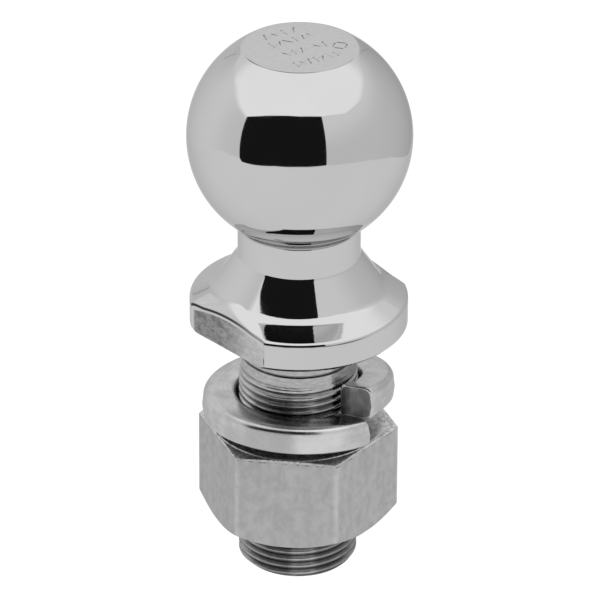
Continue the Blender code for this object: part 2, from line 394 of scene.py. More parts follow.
def shank_column(angle):
    """The shank from under the flange down to the end face's edge."""
    top = THREAD_TOP + THREAD_RUNOUT
    foot = GROOVE_HEIGHT - GROOVE_WIDTH / 2
    head = GROOVE_HEIGHT + GROOVE_WIDTH / 2
    points = [(SHANK_RADIUS, mix(SHANK_LENGTH - SHANK_FILLET, head, i / 6)) for i in range(1, 7)]
    points += [
        (SHANK_RADIUS - GROOVE_DEPTH, head - GROOVE_HEAD_SLOPE),
        (SHANK_RADIUS - GROOVE_DEPTH, foot + GROOVE_FOOT_SLOPE),
        (SHANK_RADIUS, foot),
        (SHANK_RADIUS, top),
    ]
    for height, depth in thread_column(angle, top, 0):
        cut = smooth((top - height) / THREAD_RUNOUT)
        crest = mix(SHANK_RADIUS, THREAD_RADIUS, smooth((top - height) / SHANK_SWELL))
        chamfer = THREAD_RADIUS - END_CHAMFER + height
        points.append((min(crest - depth * cut, chamfer), height))
    rings = (THREAD_RADIUS - END_CHAMFER - END_EDGE,) + END_RINGS
    return points + [(radius, 0) for radius in rings]


def stroke(path, width):
    """Outline of a round-ended stroke along a path of (x, y) points."""
    outline = []
    last = len(path) - 1
    for ordered in (path, path[::-1]):
        for i, (x, y) in enumerate(ordered):
            before, after = ordered[max(i - 1, 0)], ordered[min(i + 1, last)]
            heading = math.atan2(after[1] - before[1], after[0] - before[0])
            for turn in (-90,) if i < last else (-90, -45, 0, 45):
                side = heading + math.radians(turn)
                outline.append((x + width * math.cos(side), y + width * math.sin(side)))
    return outline


# Plain strokes on the top flat, in millimetres. Each row has its height, first place, spacing
# and slants in degrees.
MARK_ROWS = (
    (9.6, -4.6, 2.9, (70, 118, 90, 60)),
    (4.6, -5.6, 2.35, (90, 62, 125, 90, 70, 110)),
    (-1.7, -5.2, 2.3, (115, 90, 66, 0, 120, 82)),
    (-8.2, -6.4, 2.0, (90, 112, 72, 90, 60, 100, 90)),
)
MARK_LENGTH = 2.7
MARK_SHORTER = 0.75
MARK_BAR = (0.62, 1.2)
MARK_BAR_DROP = 0.4
MARK_BAR_STEP = 0.9
MARK_DIAMOND = ((9.2, -4.6), 1.9)
MARK_DIAMOND_SIDE = (0.14, 0.86)
MARK_WIDTH = 0.2
MARK_FLOOR = 0.35
MARK_DEPTH = 0.3
MARK_TURN = math.radians(81)


def mark_paths():
    """Paths of the strokes in millimetres."""
    paths = []
    for row, first, spacing, slants in MARK_ROWS:
        for i, slant in enumerate(slants):
            angle = math.radians(slant)
            half = MARK_LENGTH / 2 * (MARK_SHORTER if i % 3 == 1 else 1)
            x = first + i * spacing
            wide, tall = half * math.cos(angle), half * math.sin(angle)
            paths.append([(x + k * wide, row + k * tall) for k in (-1, 0, 1)])
            following = slants[i + 1] if i + 1 < len(slants) else 90
            if slant and following and i % 3 != 2:
                level = row + (i % 2) * MARK_BAR_STEP - MARK_BAR_DROP
                paths.append([(x + reach, level) for reach in MARK_BAR])
    (x, y), size = MARK_DIAMOND
    for quarter in range(4):
        ends = [TURN * (quarter + part) / 4 for part in MARK_DIAMOND_SIDE]
        paths.append([(x + size * math.cos(a), y + size * math.sin(a)) for a in ends])
    return paths


def placed_mark(outline, height):
    """The outline turned to its bearing on the top flat, at this height."""
    cos, sin = math.cos(MARK_TURN), math.sin(MARK_TURN)
    return [((x * cos - y * sin) * MM, (x * sin + y * cos) * MM, height) for x, y in outline]


def fill_top(shape, ring):
    """Fill the top flat inside its ring of vertices, with the strokes sunk into it."""
    edges = [shape.edges.get((a, b)) for a, b in zip(ring, ring[1:])]
    for path in mark_paths():
        upper = placed_mark(stroke(path, MARK_WIDTH), TOP_HEIGHT)
        lower = placed_mark(stroke(path, MARK_WIDTH * MARK_FLOOR), TOP_HEIGHT - MARK_DEPTH * MM)
        lips = [shape.verts.new(point) for point in upper]
        floor = [shape.verts.new(point) for point in lower]
        for i in range(len(lips)):
            j = (i + 1) % len(lips)
            shape.faces.new((lips[i], lips[j], floor[j], floor[i]))
            edges.append(shape.edges.get((lips[i], lips[j])))
        shape.faces.new(floor)
    bmesh.ops.triangle_fill(shape, use_beauty=True, edges=edges, normal=UP)


def make_stud(materials):
    """Ball, neck, flange and threaded shank."""
    corner = math.asin(FLAT_DISTANCE / RIM_RADIUS)
    corners = [side + sign * corner for side in (0, math.pi) for sign in (1, -1)]
    angles = with_angles(TURNED_COLUMNS, corners)
    ogee = ogee_outline()
    shared = upper_outline() + [point for point in ogee if point[0] < SHARED_FLANGE_RADIUS]
    columns = []
    for angle in angles:
        outline = shared + flange_column(ogee, angle) + shank_column(angle)
        columns.append([at(radius, angle, height) for radius, height in outline])
    shape = bmesh.new()
    rows = join_columns(shape, columns)
    tip = shape.verts.new((0, 0, 0))
    for left, right in zip(rows, rows[1:]):
        shape.faces.new((left[-1], tip, right[-1]))
    bmesh.ops.remove_doubles(shape, verts=shape.verts, dist=MERGE_DISTANCE)
    ring = [v for v in shape.verts if v.is_boundary]
    ring.sort(key=lambda v: math.atan2(v.co.y, v.co.x))
    fill_top(shape, ring + ring[:1])
    for face in shape.faces:
        face.material_index = stud_finish(face.calc_center_median())
    piece("ball_stud_forging", shape, "stud", "ball_stud", materials, sharp=28)


def stud_finish(place):
    """Which finish a face of the stud has: 0 polished, 1 stamped top, 2 milled flat, 3 shank."""
    reach = math.hypot(place.x, place.y)
    if place.z > TOP_HEIGHT - MM and reach < TOP_FLAT_RADIUS - TOP_EDGE:
        return 1
    if place.z < SHANK_LENGTH - SHANK_FILLET:
        return 3
    if abs(place.y) > FLAT_DISTANCE - FLAT_TOLERANCE and place.z < RIM_TOP + 2 * MM:
        return 2
    return 0


# Nut


def hex_radius(angle):
    """Distance from the axis to the side of the hexagon with rounded corners."""
    offset = (angle - NUT_TURN + TURN / 12) % (TURN / 6) - TURN / 12
    centre = (NUT_APOTHEM - NUT_CORNER) / math.cos(TURN / 12)
    tangent = math.atan2((NUT_APOTHEM - NUT_CORNER) * math.tan(TURN / 12), NUT_APOTHEM)
    if abs(offset) < tangent:
        return NUT_APOTHEM / math.cos(offset)
    away = TURN / 12 - abs(offset)
    return centre * math.cos(away) + math.sqrt(NUT_CORNER**2 - (centre * math.sin(away)) ** 2)


def nut_side(reach, face, angle, boss=0.0):
    """One chamfered face: (radius, drop from the face), from the countersink out to the side."""
    ring = min(face, reach - NUT_EDGE - boss)
    points = [(mix(NUT_COUNTERSINK, ring, i / 8), 0.0) for i in range(9)]
    last = reach - NUT_EDGE
    slope = math.tan(angle)
    if boss:
        points += [(ring + out * boss, down * boss) for out, down in NUT_BOSS_SIDE]
        ring = points[-1][0]
    for i in range(1, 6):
        radius = mix(ring, last, i / 5)
        points.append((radius, boss + max(0.0, radius - face) * slope))
    corner = boss + max(0.0, reach - face) * slope
    points += rounded(points[-1], (reach, corner), (reach, corner + NUT_EDGE), 3)[1:]
    return points


def nut_column(angle):
    """The nut's outline at this angle: top face, side, bottom face and bore."""
    top = NUT_BOTTOM + NUT_THICKNESS
    reach = hex_radius(angle)
    upper = [(r, top - d) for r, d in nut_side(reach, NUT_TOP_FACE, NUT_TOP_ANGLE, NUT_BOSS_HEIGHT)]
    lower = [(r, NUT_BOTTOM + d) for r, d in nut_side(reach, NUT_BOTTOM_FACE, NUT_BOTTOM_ANGLE)]
    side = [(reach, mix(upper[-1][1], lower[-1][1], i / 10)) for i in range(1, 10)]
    bore = []
    for height, cut in reversed(thread_column(angle, top - NUT_LIP, NUT_BOTTOM + NUT_LIP)):
        radius = max(NUT_BORE, THREAD_RADIUS + THREAD_CLEARANCE - cut)
        end = min(top - height, height - NUT_BOTTOM)
        bore.append((max(radius, NUT_COUNTERSINK - end), height))
    return upper + side + lower[::-1] + bore


def make_nut(materials):
    """Hex nut, chamfered on both faces and tapped."""
    corner = [NUT_CORNER_STEP * i - NUT_HALF_SIDE for i in range(NUT_CORNER_COLUMNS)]
    last = NUT_SIDE_COLUMNS - 1
    between = [mix(-NUT_SIDE_REACH, NUT_SIDE_REACH, i / last) for i in range(last + 1)]
    offsets = corner + between + [-offset for offset in corner[:0:-1]]
    angles = []
    for side in range(6):
        middle = NUT_TURN + side * TURN / 6
        angles += [middle + math.radians(offset) for offset in offsets]
    angles = sorted(angle - TURN if angle > angles[0] + TURN else angle for angle in angles)
    angles.append(angles[0] + TURN)
    columns = []
    for angle in angles:
        column = [at(radius, angle, height) for radius, height in nut_column(angle)]
        columns.append(column + column[:1])
    shape = bmesh.new()
    join_columns(shape, columns)
    bmesh.ops.remove_doubles(shape, verts=shape.verts, dist=MERGE_DISTANCE)
    for face in shape.faces:
        place = face.calc_center_median()
        face.material_index = 1 if math.hypot(place.x, place.y) < NUT_COUNTERSINK else 0
    piece("nut_hex", shape, "nut", "hex_nut", materials, sharp=24)


# Lock washer


def washer_section(inset):
    """The washer's cross-section as (radius, height above its middle), drawn in by inset."""
    half = WASHER_THICKNESS / 2 - inset
    inner, outer = WASHER_INNER + inset, WASHER_OUTER - inset
    corners = ((outer, half), (outer, -half), (inner, -half), (inner, half))
    points = []
    for i, (corner, size) in enumerate(zip(corners, WASHER_CORNERS)):
        before, after = corners[i - 1], corners[(i + 1) % 4]
        start = toward(corner, before, size)
        end = toward(corner, after, size)
        points += rounded(start, corner, end, 6)
        bulge = WASHER_BULGE if i == 0 else 0.0
        radius, rise = (mix(a, b, WASHER_BULGE_PLACE) for a, b in zip(end, after))
        points.append((radius + bulge, rise))
    return points


def toward(start, end, distance):
    """The point this far from start on the way to end."""
    length = math.dist(start, end)
    return tuple(mix(a, b, distance / length) for a, b in zip(start, end))


def washer_point(share, radius, rise):
    """A point of the washer: share runs from its upper end to its lower end."""
    skew = WASHER_END_SKEW * (WASHER_OUTER - radius) / (WASHER_OUTER - WASHER_INNER)
    slant = WASHER_END_SLANT * (0.5 + rise / WASHER_THICKNESS)
    start = WASHER_UPPER_END - skew
    end = WASHER_UPPER_END + WASHER_SWEEP - slant
    angle = mix(start, end, share)
    swept = max(0.0, angle - WASHER_UPPER_END)
    spring = max(0.0, 1 - swept / WASHER_UPTURN_SWEEP)
    height = WASHER_SEAT + WASHER_RISE * (1 - swept / WASHER_SWEEP) + WASHER_UPTURN * spring**2
    lean = WASHER_TILT * radius * math.cos(angle - WASHER_TILT_DIRECTION)
    burr = max(0.0, 1 - swept / WASHER_BURR_SWEEP) ** 2 * max(0.0, 0.5 - rise / WASHER_THICKNESS)
    return at(radius, angle, height + rise + lean - WASHER_BURR * burr)


def make_washer(materials):
    """Split lock washer."""
    edge = WASHER_END_EDGE / WASHER_OUTER / WASHER_SWEEP
    stations = [(share * edge, inset) for share, inset in WASHER_END_ROUNDING]
    other_end = [(1 - share, inset) for share, inset in reversed(stations)]
    for i in range(1, WASHER_COLUMNS):
        stations.append((mix(edge, 1 - edge, i / WASHER_COLUMNS), 0.0))
    stations += other_end
    columns = []
    for share, inset in stations:
        section = washer_section(inset * WASHER_END_EDGE)
        column = [washer_point(share, radius, rise) for radius, rise in section]
        columns.append(column + column[:1])
    shape = bmesh.new()
    rows = join_columns(shape, columns)
    for row in (rows[0], rows[-1]):
        shape.faces.new(row[:-1]).material_index = 1
    piece("washer_coil", shape, "washer", "lock_washer", materials, sharp=34)


# Materials


class Finish:
    """A metal's node material, built up step by step from numbers and node sockets."""

    def __init__(self, name, roughness):
        self.material = bpy.data.materials.new(name)
        self.material.use_nodes = True
        self.tree = self.material.node_tree
        self.shader = self.tree.nodes["Principled BSDF"]
        self.shader.inputs["Metallic"].default_value = 1.0
        self.shader.inputs["Roughness"].default_value = roughness
        self.shader.inputs["Specular Tint"].default_value = (EDGE_TINT, EDGE_TINT, EDGE_TINT, 1)
        self.bumped = None
        self.place = self.add("ShaderNodeTexCoord").outputs["Object"]
        parts = self.add("ShaderNodeSeparateXYZ", Vector=self.place)
        self.x, self.y, self.height = parts.outputs
        squares = self.plus(self.times(self.x, self.x), self.times(self.y, self.y))
        self.reach = self.math("SQRT", squares)
        # The same place on a turned surface: distance round it, distance out, height.
        round_it = self.times(self.math("ARCTAN2", self.y, self.x), AROUND_SCALE)
        joined = self.add("ShaderNodeCombineXYZ", _0=round_it, _1=self.reach, _2=self.height)
        self.around = joined.outputs[0]

    def add(self, kind, settings=None, **links):
        """Add a node; links are input names with underscores for spaces, or input numbers."""
        node = self.tree.nodes.new(kind)
        for key, value in (settings or {}).items():
            setattr(node, key, value)
        for key, value in links.items():
            name = int(key[1:]) if key[1:].isdigit() else key.replace("_", " ")
            socket = node.inputs[name]
            if isinstance(value, bpy.types.NodeSocket):
                self.tree.links.new(value, socket)
            else:
                socket.default_value = value
        return node

    def math(self, operation, a, b=0.0):
        return self.add("ShaderNodeMath", {"operation": operation}, _0=a, _1=b).outputs[0]

    def joined(self, operation, values):
        result = values[0]
        for value in values[1:]:
            result = self.math(operation, result, value)
        return result

    def times(self, *values):
        return self.joined("MULTIPLY", values)

    def plus(self, *values):
        return self.joined("ADD", values)

    def most(self, *values):
        return self.joined("MAXIMUM", values)

    def rest(self, share):
        return self.math("SUBTRACT", 1.0, share)

    def off(self, value, middle=0.0):
        """How far the value is from the middle, either way."""
        return self.math("ABSOLUTE", self.math("SUBTRACT", value, middle))

    def noise(self, scale, detail=3.0, stretch=(1, 1, 1), roughness=0.5, place=None):
        mapping = self.add("ShaderNodeMapping", Vector=place or self.place, Scale=stretch)
        links = {"Scale": scale, "Detail": detail, "Roughness": roughness}
        node = self.add("ShaderNodeTexNoise", Vector=mapping.outputs[0], **links)
        return node.outputs["Fac"]

    def ramp(self, value, low, high, start=0.0, end=1.0):
        """Map value between low and high onto start to end."""
        links = {"Value": value, "From_Min": low, "From_Max": high, "To_Min": start, "To_Max": end}
        smoothly = {"interpolation_type": "SMOOTHSTEP"}
        return self.add("ShaderNodeMapRange", smoothly, **links).outputs[0]

    def toward(self, degrees):
        """How far the surface point lies from the upright axis, towards one bearing."""
        turn = math.radians(degrees)
        return self.plus(self.times(self.x, math.cos(turn)), self.times(self.y, math.sin(turn)))

    def rise(self):
        """Height above a cone that slopes as the flange's top does near its wrench flats."""
        return self.plus(self.height, self.times(self.reach, OGEE_SLOPE))

    def line(self, value, middle, half):
        """One on the middle value, fading to zero at half a line's width either side."""
        return self.ramp(self.off(value, middle), LINE_CORE * half, half, 1.0, 0.0)

    def blend(self, a, b, share):
        """From a at share 0 to b at share 1."""
        return self.plus(self.times(a, self.rest(share)), self.times(b, share))

    def grey(self, value):
        """Base colour from a grey value."""
        level = self.times(value, 1 / STUDIO_LEVEL)
        colour = self.add("ShaderNodeCombineColor", _0=level, _1=level, _2=level)
        self.tree.links.new(colour.outputs[0], self.shader.inputs["Base Color"])

    def rough(self, value):
        self.tree.links.new(value, self.shader.inputs["Roughness"])

    def bump(self, height, distance):
        """Add relief; distance is in metres."""
        links = {"Height": height, "Distance": distance, "Strength": 1.0}
        if self.bumped:
            links["Normal"] = self.bumped
        self.bumped = self.add("ShaderNodeBump", **links).outputs[0]
        self.tree.links.new(self.bumped, self.shader.inputs["Normal"])


def top_edge_painted_line(finish):
    """A painted dark reflection: a broken dark line round the front of the top flat."""
    return finish.times(
        finish.line(finish.reach, TOP_FLAT_RADIUS - 0.02 * MM, 0.2 * MM),
        finish.ramp(finish.height, TOP_HEIGHT - MM, TOP_HEIGHT - 0.5 * MM, 0.0, 0.75),
        finish.ramp(finish.noise(38, 2), 0.42, 0.6, 0.15, 1.0),
        finish.ramp(finish.toward(FRONT_BEARING), 5 * MM, 9 * MM),
    )


def flat_edge_painted_line(finish):
    """A painted dark reflection: a dark line along each wrench flat's top edge, lower on the rolled
    middle of the edge.
    """
    across = finish.off(finish.y)
    below = finish.ramp(finish.off(finish.x), 9 * MM, 14.7 * MM, 1.0 * MM, 0.3 * MM)
    return finish.times(
        finish.line(finish.plus(finish.rise(), below), CORNER_RISE, 0.32 * MM),
        finish.ramp(finish.x, 0.0, 12 * MM, 1.0, 0.5),
        finish.ramp(across, FLAT_DISTANCE - 0.5 * MM, FLAT_DISTANCE - 0.3 * MM, 0.0, 0.93),
    )


def rim_painted_line(finish):
    """A painted dark reflection: a broken dark line under the rim's rounded edge, fading towards
    the side where highlights are painted.
    """
    return finish.times(
        finish.line(finish.height, RIM_TOP - 0.55 * MM, 0.2 * MM),
        finish.ramp(finish.noise(90, 2), 0.4, 0.55, 0.1, 0.8),
        finish.ramp(finish.reach, RIM_RADIUS - 0.35 * MM, RIM_RADIUS - 0.2 * MM),
        finish.ramp(finish.toward(PAINTED_LIGHT_BEARING), 13 * MM, 20 * MM, 1.0, 0.1),
    )


def polished_chrome():
    """Mirror chrome with painted dark reflection lines at its edges, a painted lighter band round
    the underside of the ball, and faint polishing marks on the flange.
    """
    finish = Finish("chrome_polished", 0.035)
    height = finish.height
    # Painted dark reflection lines along the top flat, the wrench flats and the rim.
    edges = finish.most(top_edge_painted_line(finish), flat_edge_painted_line(finish), rim_painted_line(finish))
    # Painted light: a lighter band round the underside of the ball above its fillet, back to the
    # plain grey below.
    painted_light_under_ball = finish.times(
        finish.ramp(height, BALL_CENTRE - 19.4 * MM, BALL_CENTRE - 16 * MM, 1.3, 1.0),
        finish.ramp(height, BALL_CENTRE - 21 * MM, BALL_CENTRE - 20 * MM, 0.77, 1.0),
    )
    shade = finish.ramp(finish.noise(55, 2), 0.3, 0.7, 0.545, 0.56)
    finish.grey(finish.times(shade, painted_light_under_ball, finish.rest(edges)))
    finish.rough(finish.ramp(finish.noise(140, 3), 0.35, 0.75, 0.03, 0.055))
    polishing_marks = finish.times(
        finish.noise(2600, 2, (1.0, 0.5, 0.5), place=finish.around),
        finish.ramp(height, SHANK_LENGTH + 7 * MM, SHANK_LENGTH + 9.5 * MM),
        finish.ramp(height, SHANK_LENGTH + 15 * MM, SHANK_LENGTH + 11 * MM),
    )
    finish.bump(polishing_marks, 0.004 * MM)
    finish.bump(finish.noise(180, 2), 0.002 * MM)
    return finish.material


def stamped_chrome():
    """Chrome over the stamped flat: a little duller, with a fine speckle."""
    finish = Finish("chrome_stamped_flat", 0.14)
    finish.grey(finish.ramp(finish.noise(900, 4), 0.3, 0.7, 0.54, 0.57))
    finish.rough(finish.ramp(finish.noise(400, 3), 0.3, 0.7, 0.11, 0.18))
    finish.bump(finish.noise(1500, 3), 0.006 * MM)
    return finish.material


def milled_chrome():
    """Chrome over a milled wrench flat: fine scratches, rougher than the polished border round
    them, painted darker towards the left and lighter towards the right, with a painted dark line of
    shade down one end.
    """
    finish = Finish("chrome_milled", 0.3)
    scratches = finish.noise(1500, 4, (0.4, 1.0, 1.0), 0.65)
    patches = finish.noise(240, 4, (1, 1, 1.6), 0.65)
    mottle = finish.plus(scratches, patches)
    wander = finish.times(finish.plus(patches, -0.5), 1.5 * MM)
    side = finish.plus(finish.x, wander)
    # Painted shade and painted highlight: the flat is darker towards its left and lighter towards
    # its right.
    painted_shade_grey = finish.ramp(mottle, 0.75, 1.25, 0.15, 0.31)
    bright = finish.ramp(mottle, 0.75, 1.25, 0.44, 0.54)
    shade = finish.blend(painted_shade_grey, bright, finish.ramp(side, -4 * MM, 11 * MM))
    border = finish.most(
        finish.ramp(
            finish.plus(finish.rise(), finish.times(wander, 0.3)),
            CORNER_RISE - MILLED_BORDER,
            CORNER_RISE - MILLED_BORDER + 0.3 * MM,
        ),
        finish.ramp(side, -12.9 * MM, -13.8 * MM),
    )
    shade = finish.blend(shade, 0.55, border)
    # Painted shade: a dark line down the flat's +X end where it meets the rim, faint except in a
    # dark notch near its foot.
    shade_notch_height = finish.off(finish.height, SHANK_LENGTH + 2.6 * MM)
    painted_edge_shade = finish.times(
        finish.line(finish.x, 14.2 * MM, 0.25 * MM),
        finish.ramp(shade_notch_height, 0.5 * MM, 1.2 * MM, 0.85, 0.1),
    )
    finish.grey(finish.blend(shade, 0.06, painted_edge_shade))
    finish.rough(finish.blend(finish.ramp(patches, 0.3, 0.7, 0.36, 0.26), 0.08, border))
    finish.bump(finish.times(scratches, finish.rest(border)), 0.015 * MM)
    return finish.material


def threaded_chrome():
    """Thin chrome over the shank: turning lines and torn flanks, with painted shade in the roots
    and below the nut, and a painted highlight stripe.
    """
    finish = Finish("chrome_threaded", 0.2)
    lines = finish.noise(2400, 3, (0.05, 1.0, 1.0), place=finish.around)
    torn = finish.noise(1100, 4, (0.35, 1.0, 1.3), 0.6, place=finish.around)
    # Painted light: a highlight stripe down the thread with painted shade round it, plain again at
    # the far left and above the thread.
    beside = finish.toward(PAINTED_LIGHT_BEARING)
    painted_shade = finish.ramp(beside, -13.5 * MM, -9 * MM, 1.0, 0.7)
    painted_stripe_light = finish.blend(painted_shade, 1.2, finish.line(beside, 1.5 * MM, 4.5 * MM))
    above = finish.ramp(finish.height, THREAD_TOP, THREAD_TOP + THREAD_RUNOUT)
    shade = finish.times(
        # Painted shade: darker the deeper the surface lies, in the thread roots and the groove.
        finish.ramp(finish.reach, 14.85 * MM, 15.6 * MM, 0.2, 0.53),
        # Painted shade: darker low on the shank, below the nut.
        finish.ramp(finish.height, 12 * MM, 16 * MM, 0.7, 1.0),
        finish.ramp(torn, 0.3, 0.75, 0.75, 1.05),
        finish.blend(painted_stripe_light, 1.0, above),
    )
    finish.grey(shade)
    finish.rough(finish.ramp(torn, 0.3, 0.7, 0.09, 0.24))
    finish.bump(lines, 0.014 * MM)
    finish.bump(torn, 0.024 * MM)
    return finish.material


def washer_zinc():
    """Bright zinc over drawn spring wire: drawing lines, darker rougher blotches, and on its outer
    front a painted highlight with painted shade to its left.
    """
    finish = Finish("zinc_washer", 0.26)
    lines = finish.noise(1500, 3, (0.08, 1.0, 1.0), place=finish.around)
    blotch = finish.noise(230, 5, (1, 1, 1), 0.6)
    shade = finish.times(
        finish.ramp(blotch, 0.3, 0.72, 0.45, 0.56),
        finish.ramp(lines, 0.3, 0.7, 0.95, 1.03),
    )
    # Painted highlight and painted shade on the outer front: lighter right of the middle, darker
    # left of it.
    beside = finish.toward(PAINTED_LIGHT_BEARING)
    outer = finish.ramp(finish.toward(FRONT_BEARING), 14 * MM, 18 * MM)
    painted_front_highlight = finish.times(finish.line(beside, 5.5 * MM, 9 * MM), outer, 0.7)
    painted_shade = finish.times(finish.line(beside, -8 * MM, 9 * MM), outer, 0.7)
    finish.grey(finish.blend(finish.blend(shade, 0.66, painted_front_highlight), 0.4, painted_shade))
    finish.rough(finish.ramp(blotch, 0.3, 0.7, 0.28, 0.2))
    finish.bump(lines, 0.02 * MM)
    finish.bump(finish.noise(700, 4), 0.012 * MM)
    return finish.material


def sheared_steel():
    """Sheared ends of the washer's wire: dark, partly as bare steel and partly as painted shade,
    darkest beside the shank.
    """
    finish = Finish("steel_sheared", 0.42)
    torn = finish.noise(420, 4, (1, 1, 0.5), 0.6)
    # Painted shade: darker towards the shank.
    outward = finish.ramp(finish.reach, 17 * MM, 20 * MM, 0.5, 1.0)
    finish.grey(finish.times(finish.ramp(torn, 0.3, 0.7, 0.17, 0.27), outward))
    finish.rough(finish.ramp(torn, 0.3, 0.7, 0.5, 0.36))
    finish.bump(torn, 0.05 * MM)
    return finish.material


def nut_zinc():
    """Satin zinc over a cold-forged nut: soft upright streaks, mottling, lighter rounded corners,
    and a painted highlight along the top edge with a painted dark line of shade under it.
    """
    finish = Finish("zinc_nut", 0.38)
    mottle = finish.noise(420, 5, (1, 1, 0.8), 0.62)
    streak = finish.times(finish.noise(260, 3, (1, 1, 0.12), 0.5), 0.5)
    # Lighter at the rounded corners.
    lighter_corner = finish.ramp(finish.reach, 26.15 * MM, 26.6 * MM, 1.0, 1.15)
    shade = finish.ramp(finish.plus(mottle, streak), 0.55, 0.95, 0.385, 0.45)
    ragged = finish.noise(900, 3)
    top = NUT_BOTTOM + NUT_THICKNESS - NUT_BOSS_HEIGHT
    edge = finish.ramp(finish.height, top - 0.75 * MM, top - 0.5 * MM)
    # Painted shade: a ragged dark line just under the top edge.
    painted_shade_line = finish.times(
        finish.ramp(finish.height, top - 1.3 * MM, top - 0.8 * MM),
        finish.rest(edge),
        finish.ramp(ragged, 0.5, 0.6, 0.0, 0.7),
    )
    # Painted highlight: ragged light patches along the top edge and over the top face.
    painted_edge_highlight = finish.times(edge, finish.ramp(ragged, 0.42, 0.55, 0.0, 0.8))
    shade = finish.blend(finish.times(shade, lighter_corner), 0.08, painted_shade_line)
    finish.grey(finish.blend(shade, 0.66, painted_edge_highlight))
    finish.rough(finish.ramp(mottle, 0.3, 0.7, 0.42, 0.33))
    finish.bump(mottle, 0.03 * MM)
    finish.bump(finish.noise(2600, 3), 0.008 * MM)
    return finish.material


def tapped_steel():
    """Bare steel of the nut's own thread."""
    finish = Finish("steel_tapped", 0.34)
    lines = finish.noise(1500, 3, (0.06, 1.0, 1.0), place=finish.around)
    finish.grey(finish.ramp(lines, 0.3, 0.7, 0.3, 0.42))
    finish.rough(finish.ramp(lines, 0.3, 0.7, 0.4, 0.3))
    finish.bump(lines, 0.015 * MM)
    return finish.material


# Studio


def studio_point(right, toward_camera, height):
    return RIGHT * right + TOWARD * toward_camera + UP * height


def glowing(name):
    """A light panel's material; each vertex's glow attribute says how bright it is."""
    material = bpy.data.materials.new(name)
    material.use_nodes = True
    material.cycles.emission_sampling = "NONE"
    tree = material.node_tree
    tree.nodes.clear()
    glow = tree.nodes.new("ShaderNodeAttribute")
    glow.attribute_name = "glow"
    emission = tree.nodes.new("ShaderNodeEmission")
    output = tree.nodes.new("ShaderNodeOutputMaterial")
    tree.links.new(glow.outputs["Fac"], emission.inputs["Strength"])
    tree.links.new(emission.outputs[0], output.inputs["Surface"])
    return material


def panel(name, rows, seen, material):
    """A studio surface through rows of (point, glow); only the floor is seen by the camera."""
    across = len(rows[0])
    points = [point for row in rows for point, glow in row]
    faces = [
        (r * across + i, r * across + i + 1, (r + 1) * across + i + 1, (r + 1) * across + i)
        for r in range(len(rows) - 1)
        for i in range(across - 1)
    ]
    mesh = bpy.data.meshes.new(name)
    mesh.from_pydata(points, [], faces)
    glow = mesh.attributes.new("glow", "FLOAT", "POINT")
    glow.data.foreach_set("value", [STUDIO_LEVEL * value for row in rows for point, value in row])
    mesh.materials.append(material)
    thing = bpy.data.objects.new(name, mesh)
    bpy.context.scene.collection.objects.link(thing)
    thing.visible_camera = seen


def interpolated(points, share):
    """A point along a list of evenly numbered points."""
    place = share * (len(points) - 1)
    i = min(int(place), len(points) - 2)
    return tuple(mix(a, b, place - i) for a, b in zip(points[i], points[i + 1]))


def curtain(name, foot, head, glow, material):
    """An upright panel from its line on the floor to its line at the ceiling."""
    rows = []
    for j in range(PANEL_STEPS + 1):
        level = j / PANEL_STEPS
        row = []
        for i in range(CURTAIN_STEPS + 1):
            side = i / CURTAIN_STEPS
            low, high = interpolated(foot, side), interpolated(head, side)
            right, toward_camera = (mix(a, b, level) for a, b in zip(low, high))
            point = studio_point(right, toward_camera, mix(PANEL_GAP, CEILING, level))
            row.append((point, glow(side, level)))
        rows.append(row)
    panel(name, rows, False, material)


# The dark opening that the camera looks through, as (right, towards the camera).
OPENING_FOOT = (
    (-0.85, 0.49),
    (-0.62, 0.4),
    (-0.56, 0.52),
    (-0.46, 1.05),
    (-0.05, 1.33),
    (0.32, 1.27),
    (0.57, 1.17),
)
OPENING_HEAD = (
    (-1.28, 0.57),
    (-1.03, 0.63),
    (-0.84, 0.67),
    (-0.38, 0.74),
    (0.0, 0.78),
    (0.22, 0.77),
    (0.42, 0.75),
)
RIGHT_FOOT = ((0.57, 1.17), (0.67, 0.57), (0.56, 0.19), (0.37, -0.05), (0.15, -0.19), (0.08, -0.38))
RIGHT_HEAD = ((0.42, 0.75), (0.95, 0.55), (1.2, 0.0), (1.1, -0.6), (0.8, -1.2), (0.3, -1.9))
LEFT_FOOT = (
    (-0.85, 0.49),
    (-0.8, 0.1),
    (-0.49, -0.06),
    (-0.34, -0.13),
    (-0.22, -0.18),
    (-0.1, -0.4),
)
LEFT_HEAD = ((-1.28, 0.57), (-1.25, 0.2), (-1.2, -0.2), (-1.15, -0.7), (-1.1, -1.3), (-0.9, -2.0))
SOFTBOX_WIDTH = (-1.5, 1.4)
SOFTBOX_BACK = -2.3
# The softbox's soft sides, as (towards the camera, right).
SOFTBOX_LEFT = (
    (-2.3, -1.5),
    (-0.88, -1.14),
    (-0.3, -1.14),
    (0.09, -1.3),
    (0.33, -1.5),
    (0.8, -1.6),
)
SOFTBOX_RIGHT = (
    (-2.3, 1.1),
    (-1.0, 0.96),
    (-0.6, 1.01),
    (-0.23, 1.09),
    (0.08, 1.18),
    (0.4, 1.13),
    (0.8, 0.7),
)
SOFTBOX_LEVEL = 1.27
CEILING_LEVEL = 1.0
SIDE_LEVEL = 0.93
SOFT_SIDE = 0.3
SOFT_BACK = 0.5
SOFTBOX_FRONT = -0.35
OPENING_LEVEL = 0.012


